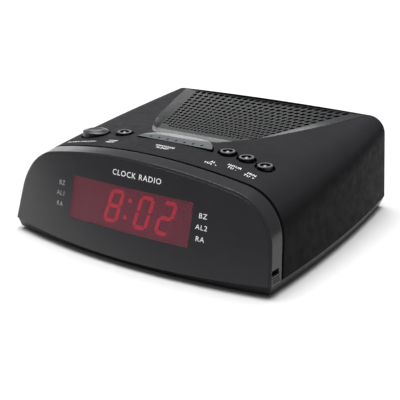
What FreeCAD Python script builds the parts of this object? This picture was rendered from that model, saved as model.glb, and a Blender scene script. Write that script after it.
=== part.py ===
"""Clock radio: a jointed assembly in its own frame, in millimetres.

+X is to the right as seen from the front, +Y to the rear and +Z up. The origin lies on the table,
under the middle of the radio. Heights are measured from the table, and "depth" is measured
rearward from the foot of the front face.
"""
import FreeCAD, Part
import math
import os
import Sketcher
from FreeCAD import Placement, Rotation, Vector

DIMENSIONS = [
    # the cabinet
    ("seam_height", 5.8, "height of the seam between the upper and lower cabinets"),
    ("middle_depth", 67.0, "depth of the origin behind the foot of the front face"),
    ("rear_depth", 134.4, "depth of the rear wall's outer face"),
    ("wall", 2.4, "wall of the cabinet shells"),
    ("front_half_width", 71.2, "half width at the seam, where the bezel ends"),
    ("front_top", 47.4, "height of the crown where the bezel ends"),
    ("front_crown", 11.7, "how far the crown falls from the middle to the sides, at the front"),
    ("front_shoulder", 24.9, "shoulder radius at the front"),
    ("front_flare", 0.152, "how much the sides flare outward on the way down, at the front"),
    ("rear_half_width", 67.9, "half width at the seam, at the rear"),
    ("rear_top", 48.1, "height of the crown at the rear"),
    ("rear_crown", 1.0, "fall of the crown at the rear"),
    ("rear_shoulder", 8.8, "shoulder radius at the rear"),
    ("rear_flare", 0.073, "flare of the sides at the rear"),
    ("side_bulge", 2.45, "how far the sides swell between front and rear"),
    ("top_bulge", 0.37, "how far the top swells between front and rear"),
    ("bezel_rear_depth", 19.4, "mean depth of the bezel's rear edge"),
    ("rear_edge", 1.0, "bevel round the rear wall"),
    ("floor_height", 1.2, "height of the cabinet floor's underside"),
    ("floor_thickness", 2.2, "thickness of the cabinet floor"),
    ("foot_radius", 5.0, "rubber foot radius"),
    ("foot_recess", 0.8, "how far a foot is let into the floor"),
    # the front
    ("front_lean", 14.7, "angle by which the front face leans back"),
    ("front_radius", 335.0, "radius of the bowed front face"),
    ("front_sag", 1.8, "how far the lower edge of the front dips in the middle"),
    ("lens_thickness", 2.2, "thickness of the front lens"),
    ("lens_margin", 1.0, "width of the bezel's lip round the lens"),
    ("bezel_depth", 7.2, "depth of the bezel behind the front face"),
    ("cabinet_front", 8.8, "depth at which the upper cabinet starts, behind the front face"),
    ("groove_depth", 1.2, "depth of the groove between the bezel and the cabinet"),
    ("rim_setback", 0.1, "how far the bezel's rim stands behind the front face"),
    ("rim_bevel_width", 0.8, "width of the bevel on the rim, along the front face"),
    ("rim_bevel_depth", 0.4, "depth of the bevel on the rim, at the side"),
    ("bezel_wall", 3.0, "wall of the bezel"),
    ("part_gap", 0.15, "gap between the fixed outer parts"),
    ("window_half_width", 32.4, "half width of the display window"),
    ("window_low", 10.2, "lower edge of the window, up the front face from the seam"),
    ("window_high", 29.3, "upper edge of the window, up the front face from the seam"),
    ("digit_height", 15.2, "height of a display digit"),
    ("digit_width", 8.4, "width of a display digit"),
    ("digit_pitch", 11.8, "distance between digits"),
    ("digit_stroke", 1.7, "width of a display segment"),
    ("digit_slant", 12.0, "slant of the digits"),
    # the controls
    ("control_depth", 41.3, "depth of the row of buttons"),
    ("cap_radius", 3.4, "radius of a round button"),
    ("cap_hole_radius", 3.65, "radius of the hole that a round button slides in"),
    ("well_radius", 4.6, "radius of the shallow well round a button"),
    ("well_sink", 1.7, "depth of the well"),
    ("cap_rise", 1.1, "how far a round button stands above the cabinet"),
    ("flange_radius", 4.3, "radius of a button's retaining flange"),
    ("flange_height", 38.9, "underside of the retaining flanges"),
    ("flange_thickness", 0.8, "thickness of the retaining flanges"),
    ("switch_top", 38.3, "height of the switch plungers at rest"),
    ("switch_width", 6.0, "width of a push switch"),
    ("plunger_radius", 1.7, "radius of a switch plunger"),
    ("plunger_height", 2.6, "height of a switch plunger"),
    ("button_travel", 0.6, "how far a round button moves"),
    ("oval_length", 13.2, "length of the oval alarm button"),
    ("oval_width", 11.4, "width of the oval alarm button"),
    ("bar_half_width", 20.2, "half width of the snooze bar along its front edge"),
    ("bar_front_depth", 38.0, "depth of the snooze bar's front edge"),
    ("bar_rear_depth", 49.2, "depth of the snooze bar's rear edge"),
    ("bar_gap", 0.7, "gap round the snooze bar"),
    ("bar_travel", 0.8, "how far the snooze bar moves"),
    ("slide_gap", 0.25, "gap round a sliding button"),
    # the grille
    ("grille_floor", 45.1, "height of the perforated floor at its front edge"),
    ("grille_slope", 0.0292, "rise of the perforated floor toward the rear"),
    ("grille_thickness", 1.8, "thickness of the perforated floor"),
    ("fan_apex", -75.6, "where the fan of slot columns would meet, along Y"),
    ("fan_step", 0.02845, "sideways step from one slot column to the next, per distance from the apex"),
    ("fan_columns", 24, "number of slot columns"),
    ("fan_rows", 16, "number of slot rows"),
    ("fan_rear", 138.0, "distance of the rearmost slot row from the apex"),
    ("fan_ratio", 0.958, "distance of each slot row from the apex, relative to the row behind it"),
    # the inside
    ("board_thickness", 1.6, "circuit board thickness"),
    ("main_board_length", 100.0, "main board, along X"),
    ("main_board_width", 37.5, "main board, along Y"),
    ("main_board_height", 9.0, "underside of the main board"),
    ("key_board_length", 112.0, "key board, along X"),
    ("key_board_width", 21.0, "key board, along Y"),
    ("key_board_height", 32.4, "underside of the key board"),
    ("display_board_length", 96.0, "display board, along X"),
    ("display_board_width", 32.0, "display board, up the front face"),
    ("screw_radius", 1.45, "thread radius of the cabinet screws"),
    ("screw_head_radius", 2.8, "head radius of the cabinet screws"),
    ("small_screw_radius", 1.1, "thread radius of the board screws"),
    ("small_head_radius", 2.1, "head radius of the board screws"),
    ("speaker_radius", 31.0, "outer radius of the speaker frame"),
    ("speaker_height", 41.4, "underside of the speaker's rim"),
    ("magnet_radius", 16.0, "radius of the speaker magnet"),
    ("magnet_height", 22.0, "underside of the speaker magnet"),
    ("core_length", 35.0, "transformer core, along X"),
    ("core_width", 14.0, "transformer core, through the stack"),
    ("core_height", 29.0, "transformer core height"),
    ("bay_length", 54.0, "battery bay, along Y"),
    ("bay_width", 28.0, "battery bay, along X"),
    ("bay_height", 19.0, "battery bay, upward from the door"),
    ("door_thickness", 1.6, "battery door thickness"),
    ("rod_radius", 4.0, "ferrite rod radius"),
    ("rod_length", 60.0, "ferrite rod length"),
]

doc = FreeCAD.newDocument("ClockRadio")
sheet = doc.addObject("Spreadsheet::Sheet", "Dims")
for row, (alias, value, meaning) in enumerate(DIMENSIONS, start=1):
    sheet.set("A%d" % row, meaning)
    sheet.set("B%d" % row, str(value))
    sheet.setAlias("B%d" % row, alias)
doc.recompute()

NODES = []


def dim(alias):
    """Value of one driving dimension."""
    return float(sheet.get(alias))


def at_depth(depth):
    """Y of a place this far behind the foot of the front face."""
    return depth - dim("middle_depth")


def node(label, item):
    """Name a finished sub-part and keep it for export."""
    item.Label = label
    NODES.append(item)
    return item


# ---------------------------------------------------------------- building blocks

def bind(item, **texts):
    for prop, text in texts.items():
        item.setExpression(prop, str(text))
    return item


def box(length, width, height, corner):
    """A block whose lowest corner is at the given place."""
    item = doc.addObject("Part::Box", "Block")
    bind(item, Length=length, Width=width, Height=height)
    item.Placement = Placement(Vector(*corner), Rotation())
    return item


def rod(radius, height, foot, along=Vector(0, 0, 1)):
    """A round bar that starts at the given place."""
    item = doc.addObject("Part::Cylinder", "Bar")
    bind(item, Radius=radius, Height=height)
    item.Placement = Placement(Vector(*foot), Rotation(Vector(0, 0, 1), along))
    return item


def fuse(*parts):
    item = doc.addObject("Part::MultiFuse", "Joined")
    item.Shapes = list(parts)
    return item


def cut(base, *tools):
    item = doc.addObject("Part::Cut", "Cut")
    item.Base = base
    item.Tool = tools[0] if len(tools) == 1 else group(*tools)
    return item


def group(*parts):
    item = doc.addObject("Part::Compound", "Group")
    item.Links = list(parts)
    return item


def formed(shape, place=None):
    """A sub-part whose surfaces come from the sheet's numbers by calculation."""
    item = doc.addObject("Part::Feature", "Formed")
    item.Shape = shape
    if place is not None:
        item.Placement = place
    return item


def origin_plane(body, role):
    return next(plane for plane in body.Origin.OriginFeatures if plane.Role == role)


def outline_sketch(body, role, corners):
    """A closed outline of straight lines, each corner held at a place given by two expressions."""
    sketch = body.newObject("Sketcher::SketchObject", "Outline")
    sketch.AttachmentSupport = [(origin_plane(body, role), "")]
    sketch.MapMode = "FlatFace"
    places = [Vector(value_of(x), value_of(y), 0) for x, y in corners]
    count = len(places)
    for i in range(count):
        sketch.addGeometry(Part.LineSegment(places[i], places[(i + 1) % count]), False)
    for i in range(count):
        sketch.addConstraint(Sketcher.Constraint("Coincident", i, 2, (i + 1) % count, 1))
    for i, (x, y) in enumerate(corners):
        for kind, text, value, axis in (("DistanceX", x, places[i].x, -2), ("DistanceY", y, places[i].y, -1)):
            if abs(value) < 1e-9:
                sketch.addConstraint(Sketcher.Constraint("PointOnObject", i, 1, axis))
            else:
                index = sketch.addConstraint(Sketcher.Constraint(kind, -1, 1, i, 1, value))
                sketch.setExpression("Constraints[%d]" % index, str(text))
    return sketch


def value_of(text):
    """Value of an expression in the sheet's terms, such as "Dims.wall * 2"."""
    return float(sheet.evalExpression(str(text)))


def turned(corners, foot):
    """A body of revolution about the vertical through the given place, from its half profile."""
    body = doc.addObject("PartDesign::Body", "Turned")
    sketch = outline_sketch(body, "XZ_Plane", corners)
    spin = body.newObject("PartDesign::Revolution", "Spin")
    spin.Profile = sketch
    spin.ReferenceAxis = (sketch, ["V_Axis"])
    spin.Angle = 360
    body.Placement = Placement(Vector(*foot), Rotation())
    return body


def padded(corners, thickness, place):
    """A flat body: an outline on the ground plane, padded upward, then put in its place."""
    body = doc.addObject("PartDesign::Body", "Padded")
    sketch = outline_sketch(body, "XY_Plane", corners)
    pad = body.newObject("PartDesign::Pad", "Thickness")
    pad.Profile = sketch
    pad.setExpression("Length", str(thickness))
    body.Placement = place if isinstance(place, Placement) else Placement(Vector(*place), Rotation())
    return body


def sheet_corners(length, width):
    """Corners of a rectangle about the origin."""
    return [("-%s / 2" % length, "-%s / 2" % width), ("%s / 2" % length, "-%s / 2" % width),
            ("%s / 2" % length, "%s / 2" % width), ("-%s / 2" % length, "%s / 2" % width)]


def arc(first, middle, last):
    return Part.Arc(first, middle, last).toShape()


def line(first, last):
    return Part.LineSegment(first, last).toShape()


def placed(shape, place):
    """A shape built about the origin, moved to its place."""
    shape.Placement = place.multiply(shape.Placement)
    return shape


def mirrored(place):
    return Vector(-place.x, place.y, place.z)


# ---------------------------------------------------------------- the cabinet's outer form

def blend(front, rear, share):
    return front + (rear - front) * share


def section_numbers(depth):
    """Half width, crown height, crown fall, shoulder radius and flare of the cabinet at a depth."""
    share = (depth - dim("bezel_rear_depth")) / (dim("rear_depth") - dim("bezel_rear_depth"))
    if share < 0:
        ahead = dim("bezel_rear_depth") - depth
        return (dim("front_half_width") - 0.086 * ahead, dim("front_top") - 0.138 * ahead,
                dim("front_crown"), dim("front_shoulder"), dim("front_flare"))
    swell = 4 * share * (1 - share)
    half = blend(dim("front_half_width"), dim("rear_half_width"), share) + dim("side_bulge") * swell
    top = blend(dim("front_top"), dim("rear_top"), share) + dim("top_bulge") * swell
    return (half, top, blend(dim("front_crown"), dim("rear_crown"), share),
            blend(dim("front_shoulder"), dim("rear_shoulder"), share),
            blend(dim("front_flare"), dim("rear_flare"), share))


def crown_radius(half, fall):
    return (half ** 2 + fall ** 2) / (2 * fall)


def top_height(x, depth):
    """Height of the cabinet's crowned top."""
    half, top, fall, _, _ = section_numbers(depth)
    radius = crown_radius(half, fall)
    return top - radius + math.sqrt(radius ** 2 - x ** 2)


def section_wire(depth, inset, low, y_shift=0.0):
    """A slice across the cabinet: flared sides, round shoulders and a crowned top."""
    half, top, fall, shoulder, flare = section_numbers(depth)
    y = at_depth(depth) + y_shift
    radius = crown_radius(half, fall) - inset
    shoulder -= inset
    crown_centre = Vector(0, y, top - inset - radius)
    slant = math.hypot(1, flare)
    outward = Vector(1 / slant, 0, flare / slant)
    upward = Vector(-flare / slant, 0, 1 / slant)
    seam = Vector(half, y, dim("seam_height")) - outward * inset
    start = seam - outward * shoulder
    away = start - crown_centre
    along = away.dot(upward)
    reach = -along + math.sqrt(along ** 2 - away.dot(away) + (radius - shoulder) ** 2)
    centre = start + upward * reach
    to_crown = (centre - crown_centre).normalize()
    foot = seam + upward * ((low - seam.z) / upward.z)
    side_end = centre + outward * shoulder
    shoulder_middle = centre + (outward + to_crown).normalize() * shoulder
    crown_end = crown_centre + to_crown * radius
    return Part.Wire([
        line(mirrored(foot), foot), line(foot, side_end), arc(side_end, shoulder_middle, crown_end),
        arc(crown_end, Vector(0, y, top - inset), mirrored(crown_end)),
        arc(mirrored(crown_end), mirrored(shoulder_middle), mirrored(side_end)),
        line(mirrored(side_end), mirrored(foot))])


def envelope(inset=0.0, rear_inset=0.0, low=-6.0):
    """The cabinet's whole outer form, or the same form inset on every side."""
    rear_edge = dim("rear_edge")
    last = dim("rear_depth") - max(rear_inset, rear_edge)
    stations = [-4.0, 11.6] + [blend(dim("bezel_rear_depth"), last, k / 4) for k in (1, 2, 3, 4)]
    form = Part.makeLoft([section_wire(depth, inset, low) for depth in stations], True, False)
    if rear_inset == 0:
        rim = Part.makeLoft([section_wire(last, inset, low),
                             section_wire(last, inset + rear_edge * 0.7, low, rear_edge)], True, True)
        form = form.fuse(rim)
    return form


def front_drum(sunk):
    """Everything behind the bowed, leaning front face, or behind a face sunk below it."""
    lean = math.radians(dim("front_lean"))
    axis = Vector(0, math.sin(lean), math.cos(lean))
    foot = Vector(0, at_depth(0), dim("seam_height"))
    centre = foot + Vector(0, math.cos(lean), -math.sin(lean)) * dim("front_radius")
    return Part.makeCylinder(dim("front_radius") - sunk, 300, centre - axis * 150, axis)


def front_place(x, rise, sunk):
    """A place on the flat behind the front face: across, up the face, and below its surface."""
    lean = math.radians(dim("front_lean"))
    return (Vector(x, at_depth(0), dim("seam_height"))
            + Vector(0, math.sin(lean), math.cos(lean)) * rise
            + Vector(0, math.cos(lean), -math.sin(lean)) * sunk)


def front_frame(x, rise, sunk):
    """Placement on the front face: local X across, local Y up the face, local Z out of it."""
    return Placement(front_place(x, rise, sunk), Rotation(Vector(1, 0, 0), 90 - dim("front_lean")))


def above_front_edge(gap):
    """Everything above the dipping line where the front meets the lower cabinet."""
    reach = 80.0
    low = dim("seam_height") - dim("front_sag") + gap
    end = low + dim("front_sag") * (reach / dim("front_half_width")) ** 2
    y = at_depth(-20)
    left, middle, right = Vector(-reach, y, end), Vector(0, y, low), Vector(reach, y, end)
    top_right, top_left = Vector(reach, y, 80), Vector(-reach, y, 80)
    edge = Part.Wire([arc(left, middle, right), line(right, top_right), line(top_right, top_left),
                      line(top_left, left)])
    return Part.Face(edge).extrude(Vector(0, 180, 0))


def slab(low, high):
    """Everything between two heights."""
    return Part.makeBox(200, 200, high - low, Vector(-100, -100, low))


def upright(x, y, radius, low, high):
    return Part.makeCylinder(radius, high - low, Vector(x, y, low))


def plan_wire(inset, height):
    """The cabinet's outline seen from above, at the seam."""
    half, rear_half = dim("front_half_width") - 0.9, dim("rear_half_width")
    front = Vector(half - inset, at_depth(8.2) + inset * 0.7, height)
    side = Vector(dim("front_half_width") + 1.0 - inset, at_depth(58), height)
    rear = Vector(rear_half - inset, at_depth(dim("rear_depth")) - inset, height)
    nose = Vector(0, at_depth(0.3) + inset, height)
    return Part.Wire([arc(mirrored(front), nose, front), arc(front, side, rear),
                      line(rear, mirrored(rear)), arc(mirrored(rear), mirrored(side), mirrored(front))])


# ---------------------------------------------------------------- places of the controls

CONTROL_Y = at_depth(dim("control_depth"))
ROUND_BUTTONS = {"time_button": Vector(-28.2, CONTROL_Y - 0.4, 0),
                 "alarm_set_button": Vector(28.9, CONTROL_Y, 0),
                 "hour_button": Vector(38.4, CONTROL_Y + 0.1, 0),
                 "minute_button": Vector(48.3, CONTROL_Y - 1.1, 0)}
OVAL_BUTTON = Vector(-43.9, CONTROL_Y - 2.8, 0)
BAR_PLACE = Vector(2.4, CONTROL_Y, 0)
CASE_SCREWS = [Vector(x, y, 0) for x, y in ((-60, -36), (60, -36), (-58, 57), (58, 57))]
KEY_SCREWS = [Vector(x, y, 0) for x, y in ((-52.5, -34.5), (52.5, -34.5), (-52.5, -18.5), (52.5, -18.5))]
MAIN_SCREWS = [Vector(x, y, 0) for x, y in ((-46, -41.5), (46, -41.5), (-46, -12), (46, -12))]
DISPLAY_SCREWS = [(x, rise) for x in (-44, 44) for rise in (8, 32)]
FEET = [Vector(x, y, 0) for x, y in ((-54, -50), (54, -50), (-46, 58), (46, 58))]
INDICATORS = [(x, rise) for x in (-39.6, 37.6) for rise in (14.8, 19.7, 24.5)]
SPEAKER = Vector(0, 30, 0)
TRANSFORMER = Vector(-38.5, 46, 5.4)
STRAP_SCREWS = [TRANSFORMER + Vector(dx, 0, 0) for dx in (-21.2, 21.2)]
BAY_CORNER = Vector(26, -5.5, 0)
BATTERY_LEADS = [BAY_CORNER + Vector(dx, dim("bay_length") - 1.5, 0) for dx in (8, 11)]
ROD_START = Vector(-10, 58, 30)
FLOOR_TOP = dim("floor_height") + dim("floor_thickness")
BOARD_TOP = dim("main_board_height") + dim("board_thickness")
DOOR_TOP = dim("floor_height") + dim("door_thickness")


def surface_height(place):
    return top_height(place.x, place.y + dim("middle_depth"))


def surface_frame(place):
    """Placement on the crowned top: local Z stands square to it."""
    half, _, fall, _, _ = section_numbers(place.y + dim("middle_depth"))
    tilt = math.degrees(math.asin(place.x / crown_radius(half, fall)))
    return Placement(Vector(place.x, place.y, surface_height(place)), Rotation(Vector(0, 1, 0), tilt))


def ellipse_prism(half_length, half_width, low, high):
    edge = Part.Ellipse(Vector(0, 0, low), half_length, half_width).toShape()
    return Part.Face(Part.Wire([edge])).extrude(Vector(0, 0, high - low))


def oval_prism(grow, low, high):
    """The oval button's outline, grown by a margin, between two heights."""
    shape = ellipse_prism(dim("oval_length") / 2 + grow, dim("oval_width") / 2 + grow, low, high)
    shape.translate(OVAL_BUTTON)
    return shape


def bar_prism(grow, low, high):
    """The snooze bar's half-moon outline, grown by a margin, between two heights."""
    half = dim("bar_half_width")
    front, rear = at_depth(dim("bar_front_depth")) - grow, at_depth(dim("bar_rear_depth")) + grow
    corner = Vector(half + 1.4 * grow, front, low)
    swell = Vector(half * 0.78 + grow * 0.8, front + (rear - front) * 0.6, low)
    crest = Vector(half * 0.3, rear, low)
    outline = Part.Wire([
        line(mirrored(corner), corner), arc(corner, swell, crest), line(crest, mirrored(crest)),
        arc(mirrored(crest), mirrored(swell), mirrored(corner))])
    prism = Part.Face(outline).extrude(Vector(0, 0, high - low))
    prism.translate(Vector(BAR_PLACE.x, 0, 0))
    return prism


# ---------------------------------------------------------------- the grille

GRILLE_FRONT, GRILLE_STEP, GRILLE_REAR = -19.0, -5.6, 65.9
GRILLE_OUTER = [(GRILLE_FRONT, 14.7), (-17.6, 18.0), (-12.5, 22.0), (GRILLE_STEP, 26.4),
                (6.7, 33.3), (24.4, 40.3), (43.0, 47.6), (GRILLE_REAR, 55.4)]


def floor_height(y):
    """Height of the perforated floor, which rises to the rear."""
    return dim("grille_floor") + dim("grille_slope") * (y - GRILLE_STEP)


def inner_half_width(y):
    """Half width of the perforated floor, which follows the fan of slots."""
    return dim("fan_step") * dim("fan_columns") / 2 * (y - dim("fan_apex")) + 0.2


def dish_section(y, half, grow, thickness):
    """A slice across the grille: its edge lies on the crown and slopes down to the floor."""
    edge = top_height(half, y + dim("middle_depth"))
    front_share = max(0.0, (GRILLE_STEP - y) / (GRILLE_STEP - GRILLE_FRONT))
    floor = blend(floor_height(max(y, GRILLE_STEP)), edge + 0.1, front_share)
    inner = blend(inner_half_width(max(y, GRILLE_STEP)), half * 0.62, front_share)
    low = min(floor, edge) - thickness
    rim, step = Vector(half + grow, y, edge), Vector(inner, y, floor)
    foot = Vector(half + grow, y, low)
    return Part.Wire([line(mirrored(foot), foot), line(foot, rim), line(rim, step),
                      line(step, mirrored(step)), line(mirrored(step), mirrored(rim)),
                      line(mirrored(rim), mirrored(foot))])


def grille_block(grow, thickness):
    """The grille's whole solid, without its slots, in a steep front piece and a long rear one."""
    front = [dish_section(y, half, grow, thickness) for y, half in GRILLE_OUTER[:4]]
    rear = [dish_section(y, half, grow, thickness) for y, half in GRILLE_OUTER[3:]]
    return Part.makeLoft(front, True, True).fuse(Part.makeLoft(rear, True, True))


def grille_opening():
    """The hole in the cabinet's top that the grille fills, with its gap."""
    gap = dim("part_gap")
    places = [Vector(half + gap, y, 30) for y, half in GRILLE_OUTER]
    places[0].y -= gap
    places[-1].y += gap
    corners = places + [mirrored(place) for place in reversed(places)]
    edges = [line(corners[i], corners[(i + 1) % len(corners)]) for i in range(len(corners))]
    return Part.Face(Part.Wire(edges)).extrude(Vector(0, 0, 30))


def slot_wire(column, distance):
    """One round-ended slot of the fan, lying along its column, in the plane z = 0."""
    lean = column * dim("fan_step")
    along = Vector(lean, 1, 0).normalize()
    across = Vector(along.y, -along.x, 0)
    width = 0.65 * dim("fan_step") * distance
    length = 0.78 * (1 - dim("fan_ratio")) * distance
    middle = Vector(lean * distance, dim("fan_apex") + distance, 0)
    reach = along * (length - width) / 2
    side, tip = across * width / 2, along * width / 2
    rear, front = middle + reach, middle - reach
    return Part.Wire([line(front + side, rear + side), arc(rear + side, rear + tip, rear - side),
                      line(rear - side, front - side), arc(front - side, front - tip, front + side)])


def slot_wires():
    """The fan of slots: rows grow and spread toward the rear, and the front row is a shallow arc."""
    columns = [k + 0.5 - dim("fan_columns") / 2 for k in range(int(dim("fan_columns")))]
    wires = []
    for row in range(int(dim("fan_rows"))):
        distance = dim("fan_rear") * dim("fan_ratio") ** row
        for column in columns:
            x = column * dim("fan_step") * distance
            front_edge = GRILLE_STEP + 1.6 + x ** 2 / 140
            if dim("fan_apex") + distance > front_edge + 0.9:
                wires.append(slot_wire(column, distance))
    return wires


def floor_block(thickness, wires=()):
    """A block on the sloping floor, from its surface downward, pierced by the given outlines."""
    y_front, y_rear = GRILLE_STEP, GRILLE_REAR - 0.9
    front, rear = inner_half_width(y_front), inner_half_width(y_rear)
    corners = [Vector(-front, y_front, 0), Vector(front, y_front, 0),
               Vector(rear, y_rear, 0), Vector(-rear, y_rear, 0)]
    outline = Part.Wire([line(corners[i], corners[(i + 1) % 4]) for i in range(4)])
    face = Part.makeFace([outline] + list(wires), "Part::FaceMakerBullseye")
    block = face.extrude(Vector(0, 0, -thickness))
    slope = math.degrees(math.atan(dim("grille_slope")))
    return placed(block, Placement(Vector(0, 0, floor_height(0)), Rotation(Vector(1, 0, 0), slope)))


def speaker_grille():
    """A dished frame and the slotted floor inside it, in one piece."""
    frame = grille_block(0.0, dim("grille_thickness")).cut(bar_prism(dim("bar_gap"), 30, 60))
    frame = frame.cut(floor_block(10)).cut(floor_block(-10))
    return frame.fuse(floor_block(dim("grille_thickness"), slot_wires()))


# ---------------------------------------------------------------- casings

def upper_cabinet():
    seam = dim("seam_height") + dim("part_gap") / 2
    shell = envelope().cut(envelope(dim("wall"), dim("wall"), -8))
    behind = front_drum(dim("cabinet_front"))
    tongue = envelope(dim("groove_depth")).cut(envelope(dim("wall"), dim("wall"), -8))
    tongue = tongue.common(front_drum(dim("bezel_depth") + dim("part_gap")))
    shell = shell.common(behind).fuse(tongue).common(slab(seam, 60))
    inside = envelope(1.0, 1.0).common(behind)
    posts = [upright(p.x, p.y, 4.0, seam, 60) for p in CASE_SCREWS]
    key_under = dim("key_board_height") + dim("board_thickness")
    posts += [upright(p.x, p.y, 2.8, key_under, 60) for p in KEY_SCREWS]
    for post in posts:
        shell = shell.fuse(post.common(inside))
    cutters = [upright(p.x, p.y, dim("screw_radius") + 0.05, seam - 1, 17) for p in CASE_SCREWS]
    cutters += [upright(p.x, p.y, dim("small_screw_radius") + 0.05, key_under - 1, 38.5)
                for p in KEY_SCREWS]
    cutters.append(grille_opening())
    cutters.append(bar_prism(dim("bar_gap"), 36, 56))
    cutters.append(oval_prism(dim("slide_gap"), 30, 56))
    for place in ROUND_BUTTONS.values():
        cutters.append(upright(place.x, place.y, dim("cap_hole_radius"), 30, 56))
        well = upright(0, 0, dim("well_radius"), -dim("well_sink"), 4)
        cutters.append(placed(well, surface_frame(place)))
    well = ellipse_prism(dim("oval_length") / 2 + 1.0, dim("oval_width") / 2 + 1.0, -dim("well_sink"), 4)
    cutters.append(placed(well, surface_frame(OVAL_BUTTON)))
    cutters += grooves()
    for x, height, radius in ((-45, 14, 3.5), (-28, 12, 1.8)):
        cutters.append(Part.makeCylinder(radius, 20, Vector(x, 55, height), Vector(0, 1, 0)))
    return shell.cut(Part.makeCompound(cutters))


def grooves():
    """Shallow lines that link the wells of neighbouring buttons."""
    below = envelope(0.5)
    names = ("alarm_set_button", "hour_button", "minute_button")
    right = [ROUND_BUTTONS[name] for name in names]
    pairs = list(zip(right, right[1:])) + [(OVAL_BUTTON, ROUND_BUTTONS["time_button"])]
    lines = []
    for first, last in pairs:
        way = last - first
        bar = Part.makeBox(way.Length, 0.8, 60, Vector(0, -0.4, 0))
        bar.Placement = Placement(first, Rotation(Vector(1, 0, 0), way))
        lines.append(bar.cut(below))
    return lines


def lower_cabinet():
    low, seam = dim("floor_height"), dim("seam_height") - dim("part_gap") / 2
    tray = Part.makeLoft([plan_wire(1.7, low), plan_wire(0.25, seam)], True, True)
    tray = tray.cut(Part.Face(plan_wire(2.6, FLOOR_TOP)).extrude(Vector(0, 0, 20)))
    front = above_front_edge(-dim("part_gap")).cut(front_drum(dim("cabinet_front")))
    tray = tray.cut(front)
    posts = [upright(p.x, p.y, 4.0, low + 1, seam) for p in CASE_SCREWS]
    posts += [upright(p.x, p.y, 2.6, low + 1, dim("main_board_height")) for p in MAIN_SCREWS]
    posts += [upright(p.x, p.y, 3.2, low + 1, TRANSFORMER.z) for p in STRAP_SCREWS]
    posts.append(upright(SPEAKER.x, SPEAKER.y, 12.0, low + 1, dim("magnet_height")))
    posts += [rod_holder(dx, low + 1) for dx in (4, 50)]
    wall = 1.4
    bay = Part.makeBox(dim("bay_width") + 2 * wall, dim("bay_length") + 2 * wall,
                       DOOR_TOP + dim("bay_height") + wall - low - 1,
                       BAY_CORNER + Vector(-wall, -wall, low + 1))
    tray = tray.multiFuse(posts + [bay])
    cutters = [Part.makeBox(dim("bay_width"), dim("bay_length"), DOOR_TOP + dim("bay_height"), BAY_CORNER)]
    cutters.append(upright(SPEAKER.x, SPEAKER.y, 9.5, FLOOR_TOP, 30))
    cutters += [upright(p.x, p.y, dim("screw_radius") + 0.2, 0, 12) for p in CASE_SCREWS]
    cutters += [upright(p.x, p.y, dim("screw_head_radius") + 0.3, 0, low + 1.4) for p in CASE_SCREWS]
    cutters += [upright(p.x, p.y, dim("small_screw_radius") + 0.05, 5, 12) for p in MAIN_SCREWS]
    cutters += [upright(p.x, p.y, dim("screw_radius") + 0.05, 2.2, 9) for p in STRAP_SCREWS]
    cutters += [upright(p.x, p.y, dim("foot_radius") + 0.15, 0, low + dim("foot_recess")) for p in FEET]
    cutters += [upright(p.x, p.y, 0.8, 18, 30) for p in BATTERY_LEADS]
    cutters += [Part.makeBox(18, 2, 9, Vector(-48, 20 - 4.5 * k, -2)) for k in range(5)]
    hinge = door_axis() - Vector(1.6, 0, 0)
    cutters.append(Part.makeCylinder(0.65, dim("bay_width") + 3.2, hinge, Vector(1, 0, 0)))
    return tray.cut(Part.makeCompound(cutters))


def rod_holder(dx, low):
    """A post from the floor with a hole that grips the ferrite rod."""
    post = Part.makeBox(5, 11, ROD_START.z + 6 - low, Vector(ROD_START.x + dx, ROD_START.y - 5.5, low))
    return post.cut(Part.makeCylinder(dim("rod_radius") + 0.05, 9, ROD_START + Vector(dx - 2, 0, 0),
                                      Vector(1, 0, 0)))


def front_bezel():
    rim = envelope().cut(envelope(dim("bezel_wall"), 0, -8))
    rim = rim.common(above_front_edge(0)).common(front_drum(dim("rim_setback")))
    rail = above_front_edge(0).cut(above_front_edge(2.2)).common(envelope()).common(
        front_drum(dim("lens_thickness") + 0.1))
    ring = rim.fuse(rail).cut(front_drum(dim("bezel_depth")))
    pocket = envelope(dim("lens_margin") - 0.1).cut(front_drum(dim("lens_thickness") + 0.1))
    ring = ring.cut(pocket)
    ring = chamfered_rim(ring)
    cutters = [side_notch(side, 2.0, 3.6, 2.4) for side in (-1, 1)]
    cutters += [side_notch(side, 0.4, rise, 0.4) for side in (-1, 1) for rise in (0.8, 1.7, 2.6)]
    return ring.cut(Part.makeCompound(cutters))


def side_notch(side, depth, rise, height):
    """A slot of even depth across the bezel's side wall, a little above the seam."""
    reach = 8.0
    x = dim("front_half_width") - reach / 2 if side > 0 else -dim("front_half_width") - reach / 2
    block = Part.makeBox(reach, 5.2, height, Vector(x, at_depth(9.4), dim("seam_height") + rise))
    return block.cut(envelope(depth))


def chamfered_rim(ring):
    """The bezel with a shallow bevel that takes most of its rim's width."""
    lean = math.radians(dim("front_lean"))
    along = Vector(0, math.sin(lean), math.cos(lean))
    centre = front_place(0, 0, dim("front_radius"))
    rim_radius = dim("front_radius") - dim("rim_setback")
    inner = envelope(0.4)
    edges = []
    for edge in ring.Edges:
        middle = edge.valueAt((edge.FirstParameter + edge.LastParameter) / 2)
        on_rim = abs((middle - centre).cross(along).Length - rim_radius) < 0.01
        outer = not inner.isInside(middle, 0.01, True)
        if on_rim and outer and middle.z > dim("seam_height") + 0.5:
            edges.append(edge)
    return ring.makeChamfer(dim("rim_bevel_depth"), dim("rim_bevel_width"), edges)


def window_prism(grow, sunk_from, sunk_to, low=None, high=None, half=None):
    """A block standing square to the front face, with the display window's outline."""
    half = (half or dim("window_half_width")) + grow
    low = (dim("window_low") if low is None else low) - grow
    high = (dim("window_high") if high is None else high) + grow
    block = Part.makeBox(2 * half, high - low, sunk_to - sunk_from, Vector(-half, low, -sunk_to))
    return placed(block, front_frame(0, 0, 0))


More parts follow.
